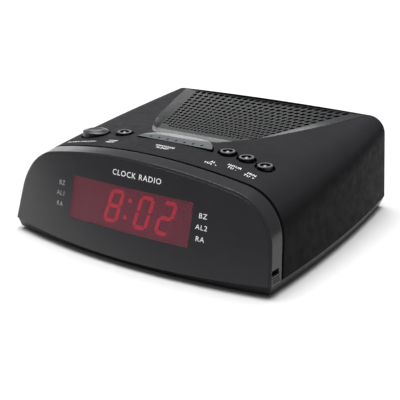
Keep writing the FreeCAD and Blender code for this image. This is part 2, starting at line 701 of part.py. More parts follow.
def front_lens():
    glass = envelope(dim("lens_margin")).common(above_front_edge(0)).common(front_drum(0))
    return glass.cut(front_drum(dim("lens_thickness"))).cut(window_prism(0.06, -5, 12))


def display_window():
    return window_prism(0.0, -5, 12).common(front_drum(0)).cut(front_drum(dim("lens_thickness") - 0.4))


def display_mask():
    """The black board behind the lens, with holes for the display and the indicator lamps."""
    front, back = dim("lens_thickness") + 0.15, dim("lens_thickness") + 1.65
    board = envelope(dim("bezel_wall") + 0.1, 0, -8).common(above_front_edge(2.3))
    board = board.common(front_drum(front))
    board = board.cut(front_drum(back)).cut(window_prism(0, -5, 14, 8.1, 31.4, 33.6))
    lamps = [lamp_prism(x, rise, 1.75, 0, 12) for x, rise in INDICATORS]
    posts = [lamp_prism(x, rise, 2.3, 6.0, 12.3) for x, rise in DISPLAY_SCREWS]
    thread = dim("small_screw_radius") + 0.05
    holes = [lamp_prism(x, rise, thread, 8.0, 14) for x, rise in DISPLAY_SCREWS]
    return board.cut(Part.makeCompound(lamps)).multiFuse(posts).cut(Part.makeCompound(holes))


def lamp_prism(x, rise, radius, sunk_from, sunk_to):
    """A round bar standing square to the front face, between two depths below it."""
    foot = front_place(x, rise, sunk_to)
    return Part.makeCylinder(radius, sunk_to - sunk_from, foot, front_place(0, 0, -1) - front_place(0, 0, 0))


def door_axis():
    """Left end of the battery door's hinge line."""
    height = dim("floor_height") + dim("door_thickness") / 2
    return BAY_CORNER + Vector(0, dim("bay_length") - 1.0, height)


def battery_door():
    """A flat door with a rounded hinge edge, two pins and a ribbed finger hollow."""
    gap, thick = 0.2, dim("door_thickness")
    pivot = door_axis()
    width = dim("bay_width") - 2 * gap
    length = pivot.y - BAY_CORNER.y - gap
    plate = Part.makeBox(width, length, thick, BAY_CORNER + Vector(gap, gap, dim("floor_height")))
    edge = Part.makeCylinder(thick / 2, width, pivot + Vector(gap, 0, 0), Vector(1, 0, 0))
    pins = Part.makeCylinder(0.55, width + 2.4, pivot + Vector(gap - 1.2, 0, 0), Vector(1, 0, 0))
    door = plate.multiFuse([edge, pins])
    middle = BAY_CORNER.x + dim("bay_width") / 2
    hollow = [Part.makeBox(10, 1.0, 0.6, Vector(middle - 5, BAY_CORNER.y + 3 + 1.8 * k, dim("floor_height")))
              for k in range(4)]
    return door.cut(Part.makeCompound(hollow))


node("upper_cabinet", formed(upper_cabinet()))
node("lower_cabinet", formed(lower_cabinet()))
node("front_bezel", formed(front_bezel()))
node("front_lens", formed(front_lens()))
node("display_window", formed(display_window()))
node("display_mask", formed(display_mask()))
node("speaker_grille", formed(speaker_grille()))
node("battery_door", formed(battery_door()))


# ---------------------------------------------------------------- buttons

def round_button(place):
    """A turned cap with a raised rim, a hollow ring and a middle dot, over a flange and a stem."""
    top = surface_height(place) + dim("cap_rise")
    rise = "%.3f" % (top - dim("switch_top"))
    flange_low = "Dims.flange_height - Dims.switch_top"
    flange_high = flange_low + " + Dims.flange_thickness"
    radius = "Dims.cap_radius"
    corners = [("0", "0"), ("Dims.plunger_radius", "0"), ("Dims.plunger_radius", flange_low),
               ("Dims.flange_radius", flange_low), ("Dims.flange_radius", flange_high),
               (radius, flange_high), (radius, rise + " - 0.25"), (radius + " - 0.2", rise),
               (radius + " - 1.0", rise), (radius + " - 1.2", rise + " - 1.1"),
               (radius + " * 0.38", rise + " - 1.1"), (radius + " * 0.28", rise + " - 0.45"),
               (radius + " * 0.15", rise + " - 0.2"), ("0", rise + " - 0.15")]
    return turned(corners, (place.x, place.y, dim("switch_top")))


def oval_button():
    """A domed oval cap over a flange and a stem."""
    top = surface_height(OVAL_BUTTON) + 2.9
    flange, thick = dim("flange_height"), dim("flange_thickness")
    cap = oval_prism(0.0, flange + thick, top)
    dome = Part.makeSphere(17.0, Vector(OVAL_BUTTON.x, OVAL_BUTTON.y, top - 17.0))
    rim = oval_prism(0.7, flange, flange + thick)
    stem = upright(OVAL_BUTTON.x, OVAL_BUTTON.y, dim("plunger_radius"), dim("switch_top"), flange)
    dish = ellipse_prism(dim("oval_length") / 2 - 1.6, dim("oval_width") / 2 - 1.6, 0, 9)
    dish.translate(Vector(OVAL_BUTTON.x, OVAL_BUTTON.y, top - 2))
    hollow = dish.common(Part.makeSphere(28.0, Vector(OVAL_BUTTON.x, OVAL_BUTTON.y, top + 27.35)))
    return cap.common(dome).cut(hollow).multiFuse([rim, stem])


def snooze_bar():
    """A half-moon bar with a ridge: a dotted front facet and a wider rear facet, hollow below."""
    flange, thick = dim("flange_height"), dim("flange_thickness")
    front, rear = at_depth(dim("bar_front_depth")), at_depth(dim("bar_rear_depth"))
    crest = surface_height(BAR_PLACE) + 0.9
    ridge = front + 4.4
    roof = [Vector(-25, front - 1, flange), Vector(-25, rear + 1, flange),
            Vector(-25, rear + 1, crest - 1.0), Vector(-25, ridge, crest),
            Vector(-25, front - 1, crest - 1.2)]
    roof_face = Part.Face(Part.Wire([line(roof[i], roof[(i + 1) % 5]) for i in range(5)]))
    bar = bar_prism(0.0, flange, 56).common(roof_face.extrude(Vector(55, 0, 0)))
    radius = crown_radius(*section_numbers(dim("control_depth"))[0:3:2])
    bar = bar.common(Part.makeCylinder(radius, 60, Vector(0, front - 10, crest - radius), Vector(0, 1, 0)))
    hollow = bar_prism(-1.6, flange, crest - 3.5)
    post = upright(BAR_PLACE.x, CONTROL_Y, 3.0, flange, crest - 3)
    bar = bar.cut(hollow.cut(post))
    bar = bar.fuse(bar_prism(1.1, flange, flange + thick).cut(hollow))
    dots = [upright(BAR_PLACE.x + 4.65 * k, front + 1.6, 0.6, crest - 1.6, crest + 1) for k in range(-3, 4)]
    stem = upright(BAR_PLACE.x, CONTROL_Y, dim("plunger_radius"), dim("switch_top"), flange)
    return bar.cut(Part.makeCompound(dots)).fuse(stem)


SWITCHES = dict(ROUND_BUTTONS, alarm_button=OVAL_BUTTON, snooze_bar=BAR_PLACE)


def push_switch(place):
    """A push switch's square housing with the blind bore that its plunger slides in."""
    low = dim("key_board_height") + dim("board_thickness")
    half = dim("switch_width") / 2
    housing = box("Dims.switch_width", "Dims.switch_width", "3.5", (place.x - half, place.y - half, low))
    travel = dim("bar_travel") if place is BAR_PLACE else dim("button_travel")
    bore_foot = dim("switch_top") - dim("plunger_height") - travel - 0.1
    return cut(housing, rod("Dims.plunger_radius + 0.1", 5, (place.x, place.y, bore_foot)))


def switch_plunger(place):
    foot = (place.x, place.y, dim("switch_top") - dim("plunger_height"))
    return rod("Dims.plunger_radius", "Dims.plunger_height", foot)


for name, place in ROUND_BUTTONS.items():
    node(name, round_button(place))
node("alarm_button", formed(oval_button()))
node("snooze_bar", formed(snooze_bar()))
node("switch_housings", group(*[push_switch(place) for place in SWITCHES.values()]))
for name, place in SWITCHES.items():
    node(name.rsplit("_", 1)[0] + "_plunger", switch_plunger(place))


# ---------------------------------------------------------------- small hardware

UP, DOWN = Vector(0, 0, 1), Vector(0, 0, -1)
OUT_OF_FRONT = front_place(0, 0, -1) - front_place(0, 0, 0)
BOARD_SUNK = 12.3 + dim("board_thickness")


def screw(thread, head, length, seat, along):
    """A pan-head screw whose head rests on the given seat and whose shank points along the way."""
    cap = rod("Dims.%s" % head, "1.2", seat - along * 1.2, along)
    return fuse(cap, rod("Dims.%s" % thread, length, seat, along))


def case_screw(place):
    """A cabinet screw driven up from below, with a cross recess in its head."""
    seat = place + UP * (dim("floor_height") + 1.4)
    foot = seat - UP * 1.2
    across = box(3.2, 0.7, 0.7, foot - Vector(1.6, 0.35, 0))
    along = box(0.7, 3.2, 0.7, foot - Vector(0.35, 1.6, 0))
    return cut(screw("screw_radius", "screw_head_radius", 13, seat, UP), across, along)


def board_screw(seat, along):
    return screw("small_screw_radius", "small_head_radius", 4.8, seat, along)


def foot_body(place):
    """A rubber foot with a bevelled sole, let into the floor."""
    top = "Dims.floor_height + Dims.foot_recess"
    corners = [("0", "0"), ("Dims.foot_radius - 0.6", "0"), ("Dims.foot_radius", "0.6"),
               ("Dims.foot_radius", top), ("0", top)]
    return turned(corners, place)




def board_screws():
    """The small screws of all three circuit boards."""
    key_under = UP * dim("key_board_height")
    screws = [board_screw(p + UP * BOARD_TOP, DOWN) for p in MAIN_SCREWS]
    screws += [board_screw(p + key_under, UP) for p in KEY_SCREWS]
    screws += [board_screw(front_place(x, rise, BOARD_SUNK), OUT_OF_FRONT) for x, rise in DISPLAY_SCREWS]
    return group(*screws)


node("rubber_feet", group(*[foot_body(place) for place in FEET]))
node("case_screws", group(*[case_screw(place) for place in CASE_SCREWS]))
node("board_screws", board_screws())
node("rating_plate", padded(sheet_corners("42", "24"), "0.15", (-8, -30, dim("floor_height") - 0.15)))


def bush(radius, bore, flange, x, height):
    """A bush in the rear wall: flush outside, with a flange inside."""
    depth, wall = dim("rear_depth"), dim("wall")
    body = rod(radius, wall + 0.6, (x, at_depth(depth - wall - 0.6), height), Vector(0, 1, 0))
    collar = rod(flange, 1.2, (x, at_depth(depth - wall - 1.2), height), Vector(0, 1, 0))
    hole = rod(bore, wall + 4, (x, at_depth(depth - wall - 2), height), Vector(0, 1, 0))
    return cut(fuse(body, collar), hole)


node("cord_gland", bush(3.45, 2.3, 5.0, -45, 14))
node("antenna_gland", bush(1.75, 0.8, 3.0, -28, 12))


# ---------------------------------------------------------------- boards

def drilled_board(length, width, place, holes):
    """A circuit board with its screw holes."""
    board = padded(sheet_corners(length, width), "Dims.board_thickness", place)
    drills = [rod("Dims.small_screw_radius + 0.15", "Dims.board_thickness + 4", foot, along)
              for foot, along in holes]
    return cut(board, *drills)


node("main_board", drilled_board("Dims.main_board_length", "Dims.main_board_width",
                                 (0, -26.8, dim("main_board_height")),
                                 [(p + UP * (dim("main_board_height") - 2), UP) for p in MAIN_SCREWS]))
node("key_board", drilled_board("Dims.key_board_length", "Dims.key_board_width",
                                (0, -26.5, dim("key_board_height")),
                                [(p + UP * (dim("key_board_height") - 2), UP) for p in KEY_SCREWS]))
node("display_board", drilled_board("Dims.display_board_length", "Dims.display_board_width",
                                    front_frame(0, 20, BOARD_SUNK),
                                    [(front_place(x, rise, BOARD_SUNK + 2), OUT_OF_FRONT)
                                     for x, rise in DISPLAY_SCREWS]))


def led_display():
    """The display module: a block behind the window, open to the rear where it meets the board."""
    middle = (dim("window_low") + dim("window_high")) / 2
    return padded(sheet_corners("66", "22"), "8", front_frame(0, middle, 12.3))


def segment_bar(x, rise, length, stands):
    """One six-cornered segment centred at a place of the display, standing or lying."""
    half, thick = length / 2, dim("digit_stroke") / 2
    corners = [(-half, 0), (-half + thick, thick), (half - thick, thick),
               (half, 0), (half - thick, -thick), (-half + thick, -thick)]
    if stands:
        corners = [(-v, u) for u, v in corners]
    slant = math.tan(math.radians(dim("digit_slant")))
    places = [Vector(x + u + (rise + v) * slant, rise + v, 0) for u, v in corners]
    outline = Part.Wire([line(places[i], places[(i + 1) % 6]) for i in range(6)])
    return Part.Face(outline).extrude(Vector(0, 0, 0.2))


def digit_segments(x, lit):
    """The segments of one digit, named a to g clockwise from the top with g in the middle."""
    stroke, gap = dim("digit_stroke"), 0.35
    side = (dim("digit_width") - stroke) / 2 - 0.3
    reach = (dim("digit_height") - stroke) / 2
    across, tall = 2 * side - gap, reach - gap
    spots = {"a": (0, reach, across, False), "g": (0, 0, across, False), "d": (0, -reach, across, False),
             "b": (side, reach / 2, tall, True), "c": (side, -reach / 2, tall, True),
             "f": (-side, reach / 2, tall, True), "e": (-side, -reach / 2, tall, True)}
    return [segment_bar(x + dx, rise, length, stands)
            for letter, (dx, rise, length, stands) in spots.items() if letter in lit]


def display_segments(lit):
    """The lit segments, which show a time of day, or the unlit ones."""
    pitch = dim("digit_pitch")
    hours, minutes = -9.9, 6.3
    shown = [(hours - pitch, ""), (hours, "abcdefg"), (minutes, "abcdef"), (minutes + pitch, "abdeg")]
    shapes = []
    for x, letters in shown:
        wanted = letters if lit else [k for k in "abcdefg" if k not in letters]
        shapes += digit_segments(x, wanted)
    if lit:
        slant = math.tan(math.radians(dim("digit_slant")))
        shapes += [Part.makeCylinder(0.95, 0.2, Vector(-2.4 + rise * slant, rise, 0)) for rise in (-3.9, 3.9)]
    middle = (dim("window_low") + dim("window_high")) / 2 - 0.25
    return placed(Part.makeCompound(shapes), front_frame(0, middle, 4.3))


def indicator_lamp(x, rise):
    body = rod(1.5, 5.8, front_place(x, rise, 12.3), OUT_OF_FRONT)
    collar = rod(1.9, 1.0, front_place(x, rise, 12.3), OUT_OF_FRONT)
    return fuse(body, collar)


node("led_display", led_display())
node("lit_segments", formed(display_segments(True)))
node("unlit_segments", formed(display_segments(False)))
node("indicator_lamps", group(*[indicator_lamp(x, rise) for x, rise in INDICATORS]))
node("clock_chip", box(26, 9, 3.4, (-22, -30, BOARD_TOP)))
node("tuner_chip", box(14, 7.6, 2.4, (18, -28, BOARD_TOP)))
node("tuning_cans", group(*[box(7, 7, 8.5, (x, y, BOARD_TOP)) for x, y in ((36, -40), (36, -29), (26, -40))]))
CAPACITORS = ((-40, -32, 5.0, 15), (-40, -20, 4.0, 12), (-30, -38, 2.5, 8), (12, -36, 3.0, 9),
              (12.2, -14.8, 4.0, 12))
node("capacitors", group(*[rod(radius, tall, (x, y, BOARD_TOP)) for x, y, radius, tall in CAPACITORS]))


# ---------------------------------------------------------------- speaker

def speaker_basket():
    """A pressed frame: a flat rim, a cone of metal and a back plate."""
    low, high = "Dims.magnet_height + 8.4", "Dims.speaker_height"
    corners = [("9", low), ("Dims.magnet_radius", low), ("Dims.speaker_radius - 3.4", high),
               ("Dims.speaker_radius", high), ("Dims.speaker_radius", high + " + 1"),
               ("Dims.speaker_radius - 4.2", high + " + 1"), ("Dims.magnet_radius - 0.8", low + " + 1"),
               ("9", low + " + 1")]
    return turned(corners, SPEAKER)


def speaker_cone():
    """The paper cone with its rolled edge resting on the rim."""
    low, high = "Dims.magnet_height + 13", "Dims.speaker_height + 1"
    profile = [("7.6", low, 0), ("8.1", low, 0), ("- 5", high, 0), ("- 3.4", high, 0.3), ("- 1.6", high, 0),
               ("- 0.4", high, 0), ("- 0.4", high, 0.3), ("- 1.3", high, 0.3), ("- 3.4", high, 0.7),
               ("- 5.2", high, 0.4), ("7.6", low, 0.6)]
    corners = [("Dims.speaker_radius " + x if x.startswith("-") else x, "%s + %s" % (height, up))
               for x, height, up in profile]
    return turned(corners, SPEAKER)


def dust_cap():
    rise = "Dims.magnet_height + 13.6"
    corners = [("0", rise + " + 2.4"), ("4", rise + " + 1.9"), ("7.6", rise), ("8.6", rise + " + 0.41"),
               ("4.4", rise + " + 2.4"), ("0", rise + " + 3")]
    return turned(corners, SPEAKER)


def voice_coil():
    """The coil's former, hanging from the cone into the gap of the magnet."""
    low = "Dims.magnet_height + 7"
    high = "Dims.magnet_height + 13.5"
    return turned([("7", low), ("7.6", low), ("7.6", high), ("7", high)], SPEAKER)


def magnet():
    """A ring magnet on a back plate with a centre pole."""
    low = "Dims.magnet_height"
    corners = [("0", low), ("Dims.magnet_radius", low), ("Dims.magnet_radius", low + " + 8.4"),
               ("8.2", low + " + 8.4"), ("8.2", low + " + 2"), ("6.6", low + " + 2"),
               ("6.6", low + " + 9"), ("0", low + " + 9")]
    return turned(corners, SPEAKER)


def gasket():
    """A foam ring between the speaker's rim and the grille, cut to the grille's slope."""
    high = dim("speaker_height") + 1.0
    outer, inner = dim("speaker_radius") + 2.0, dim("speaker_radius") - 0.4
    ring = upright(SPEAKER.x, SPEAKER.y, outer, high, 50).cut(upright(SPEAKER.x, SPEAKER.y, inner, high, 50))
    above = floor_block(-30)
    under = placed(Part.makeBox(200, 200, 30, Vector(-100, -100, -dim("grille_thickness") - 0.05)),
                   Placement(Vector(0, 0, floor_height(0)),
                             Rotation(Vector(1, 0, 0), math.degrees(math.atan(dim("grille_slope"))))))
    return ring.cut(under).cut(above)


BASKET = node("speaker_basket", speaker_basket())
node("speaker_magnet", magnet())
node("voice_coil", voice_coil())
node("speaker_cone", speaker_cone())
node("speaker_dust_cap", dust_cap())
node("speaker_gasket", formed(gasket()))
node("speaker_terminals", cut(box(12, 1.6, 6, SPEAKER + Vector(-6, -22, 32)),
                              rod("Dims.speaker_radius", 1, SPEAKER + UP * 37), BASKET))


# ---------------------------------------------------------------- transformer, antenna and battery snap

def transformer_core():
    """A laminated stack with two windows round its centre leg."""
    length, width, height = dim("core_length"), dim("core_width"), dim("core_height")
    corner = TRANSFORMER - Vector(length / 2, width / 2, 0)
    block = box("Dims.core_length", "Dims.core_width", "Dims.core_height", corner)
    windows = [box(7.4, width + 2, height - 10, corner + Vector(x, -1, 5)) for x in (4.8, 22.8)]
    return cut(block, *windows)


def bobbin():
    """The winding's spool: a square tube between two flanges."""
    width = dim("core_width")
    flanges = [box(24.6, 27, 1.2, TRANSFORMER + Vector(-12.3, -13.5, z)) for z in (5.0, 22.8)]
    tube = box(12.8, width + 2.4, 17, TRANSFORMER + Vector(-6.4, -width / 2 - 1.2, 5.9))
    leg = box(10.8, width + 0.3, 24, TRANSFORMER + Vector(-5.4, -width / 2 - 0.15, 2))
    return cut(fuse(tube, *flanges), leg)


def winding():
    width = dim("core_width")
    block = box(23.6, 25.6, 16.6, TRANSFORMER + Vector(-11.8, -12.8, 6.2))
    return cut(block, box(12.8, width + 2.4, 18, TRANSFORMER + Vector(-6.4, -width / 2 - 1.2, 6)))


def strap():
    """A steel strap over the core, with a drilled foot on each side."""
    half, width, height = dim("core_length") / 2, dim("core_width"), dim("core_height")
    top = box("Dims.core_length + 1.6", width - 4, 0.8,
              TRANSFORMER + Vector(-half - 0.8, -width / 2 + 2, height))
    parts = [top]
    for side in (-1, 1):
        x = -half - 0.8 if side < 0 else half
        parts.append(box(0.8, width - 4, height, TRANSFORMER + Vector(x, -width / 2 + 2, 0)))
        x = -half - 7.5 if side < 0 else half
        parts.append(box(7.5, width - 4, 0.8, TRANSFORMER + Vector(x, -width / 2 + 2, 0)))
    drills = [rod("Dims.screw_radius + 0.2", 4, p - UP * 2) for p in STRAP_SCREWS]
    return cut(fuse(*parts), *drills)


node("transformer_core", transformer_core())
node("transformer_bobbin", bobbin())
node("transformer_winding", winding())
node("transformer_strap", strap())
node("transformer_screws", group(*[screw("screw_radius", "small_head_radius", 3.6, p + UP * 0.8, DOWN)
                                   for p in STRAP_SCREWS]))
node("ferrite_rod", rod("Dims.rod_radius", "Dims.rod_length", ROD_START, Vector(1, 0, 0)))
node("antenna_coil", cut(rod("Dims.rod_radius + 1.1", 24, ROD_START + Vector(18, 0, 0), Vector(1, 0, 0)),
                         rod("Dims.rod_radius + 0.05", 26, ROD_START + Vector(17, 0, 0), Vector(1, 0, 0))))
SNAP_CORNER = BAY_CORNER + Vector(2, dim("bay_length") - 3.0, DOOR_TOP + 4.5)
node("battery_snap", fuse(box(24, 3.0, 13, SNAP_CORNER),
                          rod(2.8, 2.4, SNAP_CORNER + Vector(5.7, -2.4, 6.5), Vector(0, 1, 0)),
                          rod(3.6, 2.4, SNAP_CORNER + Vector(18.3, -2.4, 6.5), Vector(0, 1, 0))))


# ---------------------------------------------------------------- sockets and wiring

SOCKET_TOP = BOARD_TOP + 4.0
LEAD_RADIUS = 0.55
LEAD_ROW = -11.0


def socket(x, y, length, low):
    return box(length, 4, 4, (x - length / 2, y - 2, low))


def route(points):
    """Straight runs through the points, joined by tangent arcs."""
    edges, start, radii = [], points[0], []
    for before, corner, after in zip(points, points[1:], points[2:]):
        back, ahead = before - corner, after - corner
        reach = 0.45 * min(back.Length, ahead.Length)
        back.normalize()
        ahead.normalize()
        half_turn = (math.pi - back.getAngle(ahead)) / 2
        radius = reach / math.tan(half_turn)
        inward = (back + ahead).normalize() * (radius / math.cos(half_turn) - radius)
        edges += [line(start, corner + back * reach),
                  arc(corner + back * reach, corner + inward, corner + ahead * reach)]
        start = corner + ahead * reach
        radii.append(round(radius, 2))
    edges.append(line(start, points[-1]))
    return Part.Wire(edges), radii


def swept(name, profile, points):
    """A profile carried along a route, with its volume compared with area times length."""
    wire, radii = route(points)
    solid = wire.makePipeShell([profile], True, False)
    expected = Part.Face(profile).Area * wire.Length
    if abs(solid.Volume - expected) > 0.02 * expected:
        raise RuntimeError("%s has a bent section" % name)
    print("%s: length %.1f, bend radii %s" % (name, wire.Length, radii))
    return solid


def lead(name, points):
    """A round insulated wire."""
    circle = Part.Circle(points[0], points[1] - points[0], LEAD_RADIUS).toShape()
    return swept(name, Part.Wire([circle]), points)


def ribbon(name, width, points):
    """A flat cable as wide as given along X, which leaves its first socket upward."""
    half, thick = width / 2, 0.45
    corners = [points[0] + Vector(dx, dy, 0) for dx, dy in ((-half, -thick), (half, -thick),
                                                           (half, thick), (-half, thick))]
    profile = Part.Wire([line(corners[i], corners[(i + 1) % 4]) for i in range(4)])
    return swept(name, profile, points)


def lead_pair(name, places, points):
    """Two leads side by side that follow the same (y, z) places."""
    return Part.makeCompound([lead(name, [Vector(x, y, z) for y, z in points]) for x in places])


def display_ribbon():
    """From the main board up and forward into the back of the display board."""
    end = front_place(0, 20, BOARD_SUNK)
    corner = end - OUT_OF_FRONT * ((-42 - end.y) / -OUT_OF_FRONT.y)
    return ribbon("display_ribbon", 20, [Vector(0, -42, SOCKET_TOP), corner, end])


KEY_UNDER = dim("key_board_height") - 4
COIL_FRONT = ROD_START.y - dim("rod_radius") - 1.1
WINDING_FRONT = TRANSFORMER.y - 12.8
node("board_sockets", group(socket(0, -18, 16, BOARD_TOP), socket(0, -18, 16, KEY_UNDER),
                            socket(0, -42, 22, BOARD_TOP),
                            *[socket(x, LEAD_ROW, 8, BOARD_TOP) for x in (-38.5, 0, 20.5, 35.5)]))
node("key_ribbon", formed(ribbon("key_ribbon", 14, [Vector(0, -18, SOCKET_TOP), Vector(0, -18, KEY_UNDER)])))
node("display_ribbon", formed(display_ribbon()))
node("speaker_leads", formed(lead_pair("speaker_leads", (-2, 2), [
    (SPEAKER.y - 21.2, 32), (SPEAKER.y - 21.2, 24), (LEAD_ROW, 24), (LEAD_ROW, SOCKET_TOP)])))
node("transformer_leads", formed(lead_pair("transformer_leads", (-40.5, -36.5), [
    (WINDING_FRONT, 22), (LEAD_ROW, 22), (LEAD_ROW, SOCKET_TOP)])))
node("antenna_leads", formed(lead_pair("antenna_leads", (19, 22), [
    (COIL_FRONT, ROD_START.z), (COIL_FRONT - 4, ROD_START.z), (COIL_FRONT - 4, 19), (LEAD_ROW, 19),
    (LEAD_ROW, SOCKET_TOP)])))
node("battery_leads", formed(lead_pair("battery_leads", [p.x for p in BATTERY_LEADS], [
    (BATTERY_LEADS[0].y, SNAP_CORNER.z + 13), (BATTERY_LEADS[0].y, 27), (LEAD_ROW, 27),
    (LEAD_ROW, SOCKET_TOP)])))


# ---------------------------------------------------------------- checks and export

doc.recompute()
faults = ["%s is %s" % (item.Label, item.State) for item in doc.Objects
          if "Invalid" in item.State or "Error" in item.State]
for item in NODES:
    if item.Shape.isNull() or not item.Shape.isValid() or not item.Shape.Solids:
        faults.append("%s has a bad shape" % item.Label)
if faults:
    raise RuntimeError("; ".join(faults))
os.makedirs("parts", exist_ok=True)
for item in NODES:
    item.Shape.exportStep("parts/%s.step" % item.Label)
print("%d sub-parts exported" % len(NODES))
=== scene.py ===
"""Looks of the clock radio: materials, lettering, floor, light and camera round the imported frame."""
import math

import bpy
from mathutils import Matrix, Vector
from mathutils.bvhtree import BVHTree


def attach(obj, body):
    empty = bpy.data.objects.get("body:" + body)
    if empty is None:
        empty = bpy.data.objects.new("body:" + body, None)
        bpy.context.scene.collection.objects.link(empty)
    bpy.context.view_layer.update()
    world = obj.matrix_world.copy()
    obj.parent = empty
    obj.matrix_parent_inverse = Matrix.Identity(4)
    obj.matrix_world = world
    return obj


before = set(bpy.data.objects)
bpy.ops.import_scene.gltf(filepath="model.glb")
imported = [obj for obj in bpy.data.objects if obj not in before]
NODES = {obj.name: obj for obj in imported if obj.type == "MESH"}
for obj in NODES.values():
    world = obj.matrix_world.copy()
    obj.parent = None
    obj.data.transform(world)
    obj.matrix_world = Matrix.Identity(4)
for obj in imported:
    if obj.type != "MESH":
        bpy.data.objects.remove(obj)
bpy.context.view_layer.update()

MM = 0.001
CLOUD_SIZE, CLOUD_DETAIL = 18 * MM, 4.0
GLOSS_PATCH_SIZE, GLOSS_PATCH_DETAIL = 4 * MM, 3.0
GLOSS_SWING = 0.12
EDGE_WEAR_AND_HIGHLIGHT_WIDTH = 0.25 * MM
WALL_SHADE_MOTTLE = 0.15
WIRE_WAVE_SCALE = 600


# ---------------------------------------------------------------- colour and node helpers

def tone(red, green, blue):
    """A linear colour from display values of 0 to 255."""
    def linear(value):
        value /= 255
        return value / 12.92 if value <= 0.04045 else ((value + 0.055) / 1.055) ** 2.4
    return (linear(red), linear(green), linear(blue), 1.0)


def scaled(color, factor):
    return tuple(min(1.0, channel * factor) for channel in color[:3]) + (1.0,)


def noise(tree, place, size, detail=2.0):
    """Noise whose features measure about the given size, in metres."""
    node = tree.nodes.new("ShaderNodeTexNoise")
    node.inputs["Scale"].default_value = 1 / size
    node.inputs["Detail"].default_value = detail
    tree.links.new(place, node.inputs["Vector"])
    return node.outputs["Fac"]


def spread(tree, value, low, high, start=0.3, end=0.7):
    """A value mapped from one range onto another."""
    node = tree.nodes.new("ShaderNodeMapRange")
    node.inputs["From Min"].default_value = start
    node.inputs["From Max"].default_value = end
    node.inputs["To Min"].default_value = low
    node.inputs["To Max"].default_value = high
    tree.links.new(value, node.inputs["Value"])
    return node.outputs["Result"]


def mixed(tree, share, first, second):
    """Two colours mixed; each is a colour or another node's output."""
    node = tree.nodes.new("ShaderNodeMix")
    node.data_type = "RGBA"
    tree.links.new(share, node.inputs["Factor"])
    for socket, color in ((node.inputs[6], first), (node.inputs[7], second)):
        if isinstance(color, tuple):
            socket.default_value = color
        else:
            tree.links.new(color, socket)
    return node.outputs[2]


def edge_mask(tree, strength):
    """Strong on sharp outer edges, nothing on open faces."""
    sharp, flat = 0.75, 0.99
    bevel = tree.nodes.new("ShaderNodeBevel")
    bevel.samples = 4
    bevel.inputs["Radius"].default_value = EDGE_WEAR_AND_HIGHLIGHT_WIDTH
    geometry = tree.nodes.new("ShaderNodeNewGeometry")
    dot = tree.nodes.new("ShaderNodeVectorMath")
    dot.operation = "DOT_PRODUCT"
    tree.links.new(bevel.outputs["Normal"], dot.inputs[0])
    tree.links.new(geometry.outputs["Normal"], dot.inputs[1])
    return spread(tree, dot.outputs["Value"], strength, 0.0, sharp, flat)


def mottled(tree, place, color, amount):
    """The colour with large soft patches a little darker and lighter."""
    cloud = spread(tree, noise(tree, place, CLOUD_SIZE, CLOUD_DETAIL), 0.0, 1.0)
    return mixed(tree, cloud, scaled(color, 1 - amount), scaled(color, 1 + amount))


def finish(name, color, roughness, mottle=0.08, grain=0.0, grain_size=0.3 * MM, edge=0.25, edge_gain=2.0,
           soften=0.0, **sockets):
    """A moulded or worked surface: mottled colour, uneven gloss, lighter sharp edges for wear and, where
    strong, a painted highlight, and, where asked, fine grain of the given height and edges rounded by the
    given radius. Sockets are set on the shader by name."""
    material = bpy.data.materials.new(name)
    material.use_nodes = True
    tree = material.node_tree
    shader = tree.nodes["Principled BSDF"]
    place = tree.nodes.new("ShaderNodeTexCoord").outputs["Object"]
    wear_and_highlight = mixed(tree, edge_mask(tree, edge), mottled(tree, place, color, mottle), scaled(color, edge_gain))
    tree.links.new(wear_and_highlight, shader.inputs["Base Color"])
    patches = noise(tree, place, GLOSS_PATCH_SIZE, GLOSS_PATCH_DETAIL)
    swing = roughness * GLOSS_SWING
    tree.links.new(spread(tree, patches, roughness - swing, roughness + swing), shader.inputs["Roughness"])
    rounded = None
    if soften:
        round_off = tree.nodes.new("ShaderNodeBevel")
        round_off.samples = 6
        round_off.inputs["Radius"].default_value = soften
        rounded = round_off.outputs["Normal"]
        tree.links.new(rounded, shader.inputs["Normal"])
    if grain:
        bump = tree.nodes.new("ShaderNodeBump")
        bump.inputs["Strength"].default_value = 1.0
        bump.inputs["Distance"].default_value = grain
        tree.links.new(noise(tree, place, grain_size), bump.inputs["Height"])
        if rounded:
            tree.links.new(rounded, bump.inputs["Normal"])
        tree.links.new(bump.outputs["Normal"], shader.inputs["Normal"])
    for socket, value in sockets.items():
        shader.inputs[socket.replace("_", " ")].default_value = value
    return material


def painted_shade_walls(material, color):
    """The same finish with painted shade: a second, darker mottled colour on walls that stand upright, where
    less light falls.
    """
    tree = material.node_tree
    shader = tree.nodes["Principled BSDF"]
    place = tree.nodes.new("ShaderNodeTexCoord").outputs["Object"]
    upright, lying = 0.4, 0.65
    wall_shade_color = mottled(tree, place, color, WALL_SHADE_MOTTLE)
    top_color = shader.inputs["Base Color"].links[0].from_socket
    split = tree.nodes.new("ShaderNodeSeparateXYZ")
    tree.links.new(tree.nodes.new("ShaderNodeNewGeometry").outputs["Normal"], split.inputs[0])
    share = spread(tree, split.outputs["Z"], 0.0, 1.0, upright, lying)
    tree.links.new(mixed(tree, share, wall_shade_color, top_color), shader.inputs["Base Color"])
    return material


def wound(name, color):
    """Enamelled wire laid in close turns, as fine ridges."""
    material = finish(name, color, 0.3, mottle=0.12, Metallic=0.9)
    tree = material.node_tree
    shader = tree.nodes["Principled BSDF"]
    wave = tree.nodes.new("ShaderNodeTexWave")
    wave.bands_direction = "X"
    wave.inputs["Scale"].default_value = WIRE_WAVE_SCALE
    wave.inputs["Distortion"].default_value = 0.4
    place = tree.nodes.new("ShaderNodeTexCoord").outputs["Object"]
    tree.links.new(place, wave.inputs["Vector"])
    bump = tree.nodes.new("ShaderNodeBump")
    bump.inputs["Distance"].default_value = 0.1 * MM
    tree.links.new(wave.outputs["Fac"], bump.inputs["Height"])
    tree.links.new(bump.outputs["Normal"], shader.inputs["Normal"])
    return material


